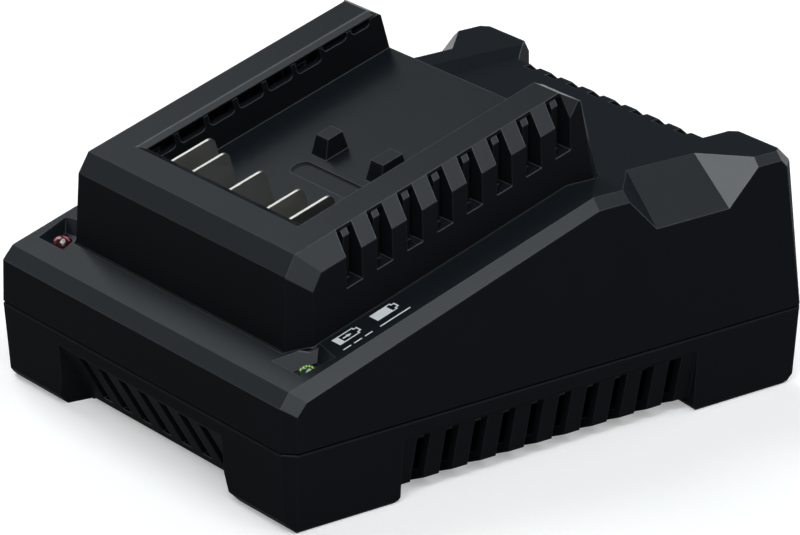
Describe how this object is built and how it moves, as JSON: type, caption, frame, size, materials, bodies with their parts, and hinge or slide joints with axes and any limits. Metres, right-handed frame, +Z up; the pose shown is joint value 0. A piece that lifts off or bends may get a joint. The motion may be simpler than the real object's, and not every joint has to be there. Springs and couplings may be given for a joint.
{
  "type": "power tool battery charger",
  "caption": "Wedge-shaped desktop charger with a raised, slotted cradle on its sloping deck into which a slide-on power tool battery is pushed over upright contact blades.",
  "frame": {"origin": "middle of the housing's footprint, on the plane that its four feet rest on", "axes": "+X to the right seen from the front, +Y to the back, up the slope of the deck, +Z up"},
  "size_m": [0.126, 0.16, 0.0862],
  "materials": {
    "housing_plastic": "fine-grained charcoal plastic",
    "cradle_plastic": "fine-grained charcoal plastic",
    "block_plastic": "smooth black plastic",
    "contact_metal": "nickel silver strip",
    "board_laminate": "solder-masked laminate",
    "lead_insulation": "red lead insulation",
    "red_lens": "clear red epoxy dome",
    "green_lens": "clear green epoxy dome",
    "terminal_plastic": "green terminal body",
    "fuse_ceramic": "white ceramic tube",
    "yellow_case": "yellow case and tape",
    "ferrite": "dark grey ferrite",
    "copper_winding": "enamelled copper",
    "device_epoxy": "black moulding compound",
    "capacitor_sleeve": "dark blue sleeve",
    "sink_aluminium": "extruded aluminium",
    "screw_steel": "zinc-plated steel",
    "marking_ink": "white pad-printing ink of the pictograms"
  },
  "bodies": {
    "root": {"lower_housing": "housing_plastic", "upper_housing": "housing_plastic", "battery_cradle": "cradle_plastic", "contact_block": "block_plastic", "blade_plus": "contact_metal", "blade_data": "contact_metal", "blade_code": "contact_metal", "blade_temp": "contact_metal", "blade_minus": "contact_metal", "contact_board": "board_laminate", "contact_leads": "lead_insulation", "red_light": "red_lens", "green_light": "green_lens", "light_boards": "board_laminate", "circuit_board": "board_laminate", "terminal_block": "terminal_plastic", "fuse": "fuse_ceramic", "x_capacitor": "yellow_case", "choke_core": "ferrite", "choke_windings": "copper_winding", "bridge_rectifier": "device_epoxy", "mains_capacitor": "capacitor_sleeve", "primary_heat_sink": "sink_aluminium", "power_transistor": "device_epoxy", "transformer_core": "ferrite", "transformer_bobbin": "block_plastic", "transformer_winding": "yellow_case", "output_heat_sink": "sink_aluminium", "output_diode": "device_epoxy", "output_capacitors": "capacitor_sleeve", "controller_chip": "device_epoxy", "housing_screws": "screw_steel", "cradle_screws": "screw_steel", "board_screws": "screw_steel"}
  },
  "joints": []
}
